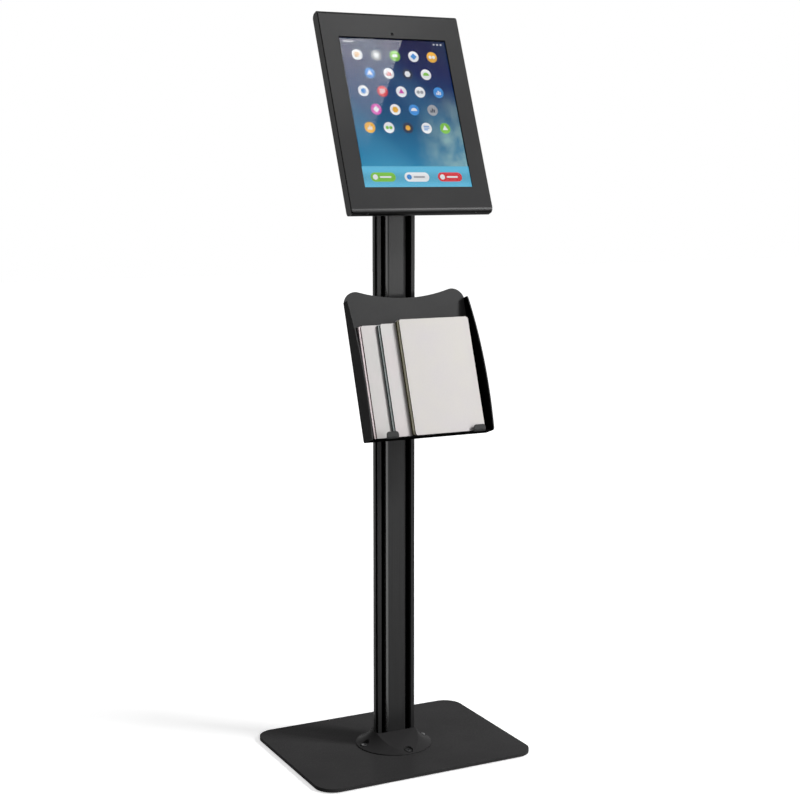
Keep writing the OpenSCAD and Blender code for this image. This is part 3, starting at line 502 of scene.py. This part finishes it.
def piece(name, bm, materials, body, replaced=()):
    """Object from a mesh under construction: its body, and the nodes that it replaces."""
    mesh = bpy.data.meshes.new(name)
    bmesh.ops.recalc_face_normals(bm, faces=bm.faces)
    bm.to_mesh(mesh)
    bm.free()
    obj = bpy.data.objects.new(name, mesh)
    scene.collection.objects.link(obj)
    for m in materials:
        mesh.materials.append(m)
    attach(obj, body)
    if replaced:
        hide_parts(*replaced)
    return obj


def slab(bm, outline, low, high, place, index=0, rim_index=None):
    """Solid between two depths with an outline of (x, z) points: its rim may take another material."""
    front = [bm.verts.new(place @ Vector((x, low, z))) for x, z in outline]
    back = [bm.verts.new(place @ Vector((x, high, z))) for x, z in outline]
    for ring in (front, back[::-1]):
        bm.faces.new(ring).material_index = index
    n = len(outline)
    for i in range(n):
        face = bm.faces.new((front[i], back[i], back[(i + 1) % n], front[(i + 1) % n]))
        face.material_index = index if rim_index is None else rim_index


def circle(x, z, r, angles):
    return [(x + r * math.cos(a), z + r * math.sin(a)) for a in angles]


def rounded(x0, x1, z0, z1, r, steps=8):
    """Outline of a rectangle whose corners have a radius."""
    if r <= 0:
        return [(x0, z0), (x1, z0), (x1, z1), (x0, z1)]
    out = []
    corners = ((x0 + r, z0 + r, 180), (x1 - r, z0 + r, 270), (x1 - r, z1 - r, 0), (x0 + r, z1 - r, 90))
    for x, z, start in corners:
        out += circle(x, z, r, [math.radians(start + 90 * i / steps) for i in range(steps + 1)])
    # Where two corners meet, their common point stays once
    return [p for p, q in zip(out, out[-1:] + out) if math.dist(p, q) > 1e-7]


# Brochures: two boards, a rounded spine at the right, and a stack of leaves between them

FOOT = -84.7  # where they stand along the tray's plate, in millimetres
CARD, SWELL, CORNER = mm(0.55, 0.9, 3.0)  # thickness of card, bulge of the spine, radius of the corners
INSET, CLEAR = mm(0.3, 0.1)  # room of the leaves to the boards' ends, and to the spine
FACE, EDGE = 0, 1  # a cover's materials


def spine(bm, x, y0, y1, z0, z1, steps=10):
    """Bowed strip of card from the front board to the rear one, closed all round."""
    middle, half = (y0 + y1) / 2, (y1 - y0) / 2
    rows = []
    for z in (z0, z1):
        outer, inner = [], []
        for i in range(steps + 1):
            a = math.pi * i / steps
            bow = math.sin(a) ** 0.8 if 0 < i < steps else 0.0
            for ring, bulge, shift, depth in ((outer, SWELL, 0.0, half),
                                              (inner, SWELL - CARD, CARD * 0.2, half - CARD)):
                at = Vector((x + bulge * bow - shift, middle - depth * math.cos(a), z))
                ring.append(bm.verts.new(TRAY @ at))
        rows.append((outer, inner))
    (low_out, low_in), (high_out, high_in) = rows
    faces = [((low_out[i], low_in[i], high_in[i], high_out[i]), EDGE) for i in (0, steps)]
    for i in range(steps):
        j = i + 1
        faces += [((low_out[i], low_out[j], high_out[j], high_out[i]), FACE),
                  ((low_in[j], low_in[i], high_in[i], high_in[j]), EDGE),
                  ((low_in[i], low_in[j], low_out[j], low_out[i]), EDGE),
                  ((high_out[i], high_out[j], high_in[j], high_in[i]), EDGE)]
    for corners, index in faces:
        bm.faces.new(corners).material_index = index


def brochure(key, left, right, behind, thick, tall, fan, papers, groups):
    """Sizes in millimetres: behind is the room to the tray's plate, fan how far the front board is set back at
    the left. Papers: face, its clouds, cut edges. Groups of leaves from front to back: how many, overhang past
    the front board, colour."""
    face, cloud, board = papers
    x0, x1, z0, z1, fan = mm(left, right, FOOT, FOOT + tall, fan)
    y0, y1, front_card = mm(-(behind + thick), -behind, 0.18 * thick)
    x1 -= SWELL
    bm = bmesh.new()
    for x, low, high in ((x0 + fan, y0, y0 + front_card), (x0, y1 - CARD, y1)):
        slab(bm, rounded(x, x1, z0, z1, CORNER), low, high, TRAY, FACE, EDGE)
    apart = CORNER + 0.05 * MM  # keeps the spine's corners off those of the boards
    spine(bm, x1, y0, y1, z0 + apart, z1 - apart)
    piece(f"brochure_{key}_cover", bm,
          [paper(f"cover_{key}", face, cloud), card_edge(f"board_{key}", board)],
          f"{key}_booklet", (f"brochure_{key}",))

    bm = bmesh.new()
    stack = [(k, over * MM) for k, (count, over, _) in enumerate(groups) for _ in range(count)]
    step = (y1 - y0 - CARD - front_card) / len(stack)
    for i, (index, over) in enumerate(stack):
        slip = abs(math.sin(i * 2.4) + 0.6 * math.sin(i * 5.1)) * 0.08 * MM
        low = y0 + front_card + i * step
        leaf = rounded(x0 + fan - over + slip, x1 - CLEAR, z0 + INSET, z1 - INSET - slip, CORNER, 5)
        slab(bm, leaf, low, low + step * 0.97, TRAY, index)
    piece(f"brochure_{key}_leaves", bm, [leaves(f"leaves_{key}_{k}", g[2]) for k, g in enumerate(groups)],
          f"{key}_booklet")


brochure("rear", left=-72.5, right=26.5, behind=0.5, thick=5.0, tall=143.0, fan=3.0,
         papers=((0.70, 0.665, 0.66), (0.66, 0.65, 0.63), (0.2, 0.07, 0.075)),
         groups=((1, 0.5, (0.2, 0.06, 0.065)), (11, 2.8, (0.92, 0.8, 0.81))))
brochure("middle", left=-48.2, right=51.0, behind=6.0, thick=5.0, tall=143.0, fan=2.6,
         papers=((0.68, 0.67, 0.66), (0.70, 0.65, 0.65), (0.02, 0.04, 0.055)),
         groups=((3, 0.8, (0.2, 0.24, 0.24)), (5, 1.9, (0.9, 0.97, 0.96)), (4, 2.4, (0.035, 0.06, 0.065))))
brochure("front", left=-24.9, right=75.5, behind=11.5, thick=6.5, tall=146.0, fan=2.4,
         papers=((0.70, 0.675, 0.64), (0.68, 0.65, 0.65), (0.06, 0.05, 0.025)),
         groups=((2, 0.45, (0.5, 0.46, 0.32)), (5, 1.5, (0.97, 0.94, 0.74)), (5, 2.2, (0.07, 0.065, 0.022))))


# Screen: a lit panel with a plain made-up picture, round tiles and a bar of buttons. Its sizes are in millimetres.

PANEL_FRONT, PANEL_BACK = -31.75, -30.7
LAYER_FRONT, LAYER_STEP, LAYER_DEPTH = -31.78, 0.03, 0.02  # flat shapes lie in layers ahead of the panel


def glowing(name):
    """Material that shines, without gloss and almost without a colour of its own."""
    return material(name, Base_Color=BLACK, Roughness=0.6, Emission_Strength=1.0, Specular_IOR_Level=0.0)


def picture(name):
    """Dark blue that lightens downwards, with slanting waves, a hazy glow at the right and dark rims."""
    m, t, s = glowing(name)
    uv = add(t, "ShaderNodeTexCoord").outputs["UV"]
    u, v = axis(t, uv, "X"), axis(t, uv, "Y")
    slanted = plus(t, v, times(t, maths(t, "SUBTRACT", u, 0.5), 0.12))
    tone = ramp(t, slanted, (0.03, 0.3, 0.5), (0.003, 0.003, 0.045), (
        (0.2, (0.008, 0.16, 0.32)), (0.42, (0.003, 0.075, 0.18)),
        (0.62, (0.003, 0.036, 0.13)), (0.8, (0.003, 0.011, 0.08))))
    band = add(t, "ShaderNodeTexWave", {"bands_direction": "DIAGONAL"}, {
        "Vector": uv, "Scale": 0.8, "Distortion": 3.0, "Detail": 2.0, "Detail Scale": 0.7}).outputs["Fac"]
    waves = times(t, remap(t, band, (0.0, 0.16), (0.4, 1.0)), remap(t, v, (1.0, 0.25), (0.2, 0.9)))
    tone = mix(t, waves, tone, (0.1, 0.42, 0.62, 1.0))
    haze = noise(t, uv, 5.0, 4.0, 0.6)
    glow = times(t, falls(t, vectors(t, "DISTANCE", uv, (0.95, 0.24, 0.0)), (0.05, 0.42)),
                 remap(t, haze, (0.1, 0.8), (0.35, 0.65)))
    tone = mix(t, glow, tone, (0.36, 0.55, 0.5, 1.0))
    rim = most(t, falls(t, u, (0.022, 0.027)), rises(t, u, (0.988, 0.992)), rises(t, v, (0.985, 0.988)))
    wire(t, s, Emission_Color=mix(t, rim, tone, (0.001, 0.002, 0.006, 1.0)))
    return m


def lit(name, colour):
    """Lit colour of the flat shapes, in faint bands up the screen."""
    m, t, s = glowing(name)
    wave = maths(t, "SINE", times(t, axis(t, coords(t), "Z"), 300.0))
    wire(t, s, Emission_Color=shades(t, rises(t, wave, (-1.0, 1.0)), colour, 0.9, 1.15))
    return m


bm = bmesh.new()
outline = rounded(*mm(-DISPLAY_X, DISPLAY_X, -DISPLAY_Z, DISPLAY_Z, 1.0), 4)
slab(bm, outline, PANEL_FRONT * MM, PANEL_BACK * MM, SCREEN, 0, 1)
panel = piece("display_panel", bm, [picture("screen_picture"), mats["tablet_metal"]], "head",
              ("tablet_display",))
uv_layer = panel.data.uv_layers.new(name="UVMap")
inverse = SCREEN.inverted()
for loop in panel.data.loops:
    p = (inverse @ panel.data.vertices[loop.vertex_index].co) / MM
    uv_layer.data[loop.index].uv = ((p.x / DISPLAY_X + 1) / 2, (p.z / DISPLAY_Z + 1) / 2)

INKS = {
    "white": (0.78, 0.79, 0.8),
    "grey": (0.33, 0.34, 0.36),
    "green": (0.2, 0.5, 0.06),
    "amber": (0.8, 0.42, 0.05),
    "red": (0.65, 0.04, 0.05),
    "pink": (0.6, 0.08, 0.4),
    "blue": (0.05, 0.25, 0.62),
    "ink": (0.02, 0.03, 0.06),
    "bar": (0.1, 0.4, 0.58),
}
ink_names = list(INKS)
ui = bmesh.new()


def flat(outline, layer, ink):
    """Thin shape ahead of the panel."""
    low = LAYER_FRONT - LAYER_STEP * layer
    slab(ui, [mm(x, z) for x, z in outline], *mm(low, low + LAYER_DEPTH), SCREEN, ink_names.index(ink))


def disc(x, z, r, layer, ink, sides=32, turn=0.0):
    flat(circle(x, z, r, [math.tau * i / sides + turn for i in range(sides)]), layer, ink)


TILE_RADIUS, TILE_PITCH = 7.2, 26
# Motifs with one regular outline: radius, sides, turn
REGULAR = {"dot": (3.4, 32, 0.0), "diamond": (4.4, 4, 0.0), "triangle": (4.4, 3, math.pi / 2),
           "hexagon": (4.3, 6, 0.0)}


def tile(x, z, ground, motif, ink):
    """A round tile with one plain geometric motif."""
    disc(x, z, TILE_RADIUS, 1, ground)
    if motif in REGULAR:
        r, sides, turn = REGULAR[motif]
        disc(x, z, r, 2, ink, sides, turn)
    elif motif == "bars":
        for i, tall in enumerate((3.0, 5.5, 4.2)):
            left, low = x - 3.2 + 2.3 * i, z - 3.0
            flat(rounded(left, left + 1.6, low, low + tall, 0.3, 3), 2, ink)
    elif motif == "lines":
        for i, length in enumerate((7.6, 7.6, 5.4)):
            left, low = x - 3.8, z + 1.8 - 2.3 * i
            flat(rounded(left, left + length, low, low + 1.2, 0.5, 3), 2, ink)
    elif motif == "pair":
        for side in (-2.4, 2.4):
            disc(x + side, z, 2.2, 2, ink)
    elif motif == "half":
        flat(circle(x, z - 1.4, 4.2, [math.pi * i / 16 for i in range(17)]), 2, ink)


# Height of each row, place of its first tile, and each tile's ground, motif and ink
ROWS = (
    (76, -52, "white/lines/amber grey/dot/white green/half/white white/diamond/blue amber/pair/white"),
    (52, -39, "blue/triangle/white white/bars/red ink/hexagon/white white/half/green"),
    (28, -52, "white/dot/blue red/lines/white white/triangle/pink white/pair/grey blue/bars/white"),
    (4, -39, "pink/diamond/white white/hexagon/amber blue/half/white grey/bars/ink"),
    (-20, -52, "amber/bars/white white/pair/green ink/dot/amber white/lines/blue green/triangle/white"),
)
for z, left, row in ROWS:
    for i, words in enumerate(row.split()):
        tile(left + TILE_PITCH * i, z, *words.split("/"))
# Bar with three buttons, each with a dot and a line
flat(rounded(-75.0, 75.0, -99.8, -70.5, 0), 1, "bar")
for x, ink, dot, line in ((-46, "green", "white", "white"), (0, "white", "blue", "grey"),
                          (46, "red", "white", "white")):
    flat(rounded(x - 17, x + 17, -90.5, -78.5, 6), 2, ink)
    disc(x - 10.5, -84.5, 3.4, 3, dot)
    flat(rounded(x - 4.5, x + 11, -85.6, -83.4, 1.0, 4), 3, line)
# Dots and a dash along the top
for i in range(3):
    disc(58 + 5.0 * i, 93.5, 1.1, 1, "white", 16)
flat(rounded(-68, -54, 92.7, 94.3, 0.8, 4), 1, "white")
piece("display_tiles", ui, [lit(f"screen_{k}", c) for k, c in INKS.items()], "head")


# Stage: pale floor, soft lamps and a white background

def emitter(name, place, turn, size, power):
    """Rectangular lamp that the camera doesn't see; turn is its rotation as a matrix."""
    data = bpy.data.lights.new(name, "AREA")
    data.shape = "RECTANGLE"
    data.size, data.size_y = size
    data.energy = power
    lamp = bpy.data.objects.new(name, data)
    scene.collection.objects.link(lamp)
    lamp.matrix_world = Matrix.Translation(place) @ turn.to_4x4()
    lamp.visible_camera = False
    return lamp


def aimed(name, place, target, size, power):
    turn = (Vector(target) - Vector(place)).to_track_quat("-Z", "Y").to_matrix()
    return emitter(name, place, turn, size, power)


aimed("key", (1.05, -1.85, 0.82), target=(0, 0, 0.68), size=(0.5, 1.04), power=10.5)
main = aimed("main", (1.3, -1.25, 1.6), target=(0, 0, 0.5), size=(0.45, 0.45), power=35.5)
back = aimed("back", (-0.6, 1.9, 1.5), target=(0, 0, 0.6), size=(1.2, 1.2), power=10)
main.visible_glossy = back.visible_glossy = False

# Softbox that fades along its length, mirrored slantwise in the screen's upper left
away = Vector((0.431, -0.601, 0.673)).normalized()
length = Vector((-0.2514, -0.796, -0.5506)).normalized()
axes = Matrix((length, away.cross(length), away)).transposed()
softbox = emitter("softbox", (0.376, -0.982, 1.975), axes, size=(1.2, 0.6), power=23)
softbox.visible_diffuse = False
softbox.data.use_nodes = True
lt = softbox.data.node_tree
span = axis(lt, add(lt, "ShaderNodeNewGeometry").outputs["Parametric"], "X")
wire(lt, lt.nodes["Emission"], Strength=falls(lt, span, (0.41, 0.59)))

AMBIENT = 0.18  # light of the surroundings, which look white
world = bpy.data.worlds.new("studio")
scene.world = world
world.use_nodes = True
wt = world.node_tree
background = wt.nodes["Background"]
background.inputs["Color"].default_value = WHITE
wire(wt, background, Strength=remap(wt, seen(wt), (AMBIENT, 1.0), (0.0, 1.0)))

# Floor that looks white far off, keeps the shadow near the part, and throws little light back up
FLOOR_SEEN, FLOOR_LIT = (0.85, 0.85, 0.85, 1.0), (0.4, 0.4, 0.4, 1.0)
bm = bmesh.new()
bmesh.ops.create_grid(bm, x_segments=8, y_segments=8, size=9.0)
floor_mesh = bpy.data.meshes.new("floor")
bm.to_mesh(floor_mesh)
bm.free()
floor = bpy.data.objects.new("floor", floor_mesh)
scene.collection.objects.link(floor)
fm, ft, fs = material("floor_paper", Roughness=0.9, Specular_IOR_Level=0.1)
shown = seen(ft)
wire(ft, fs, Base_Color=mix(ft, shown, FLOOR_LIT, FLOOR_SEEN))
reach = vectors(ft, "LENGTH", coords(ft))
shine = times(ft, shown, remap(ft, reach, (0.57, 1.0), (0.35, 1.1)))
white = add(ft, "ShaderNodeEmission", None, {"Color": WHITE, "Strength": shine})
both = add(ft, "ShaderNodeAddShader", None, {0: fs.outputs[0], 1: white.outputs[0]})
wire(ft, ft.nodes["Material Output"], Surface=both.outputs[0])
floor_mesh.materials.append(fm)
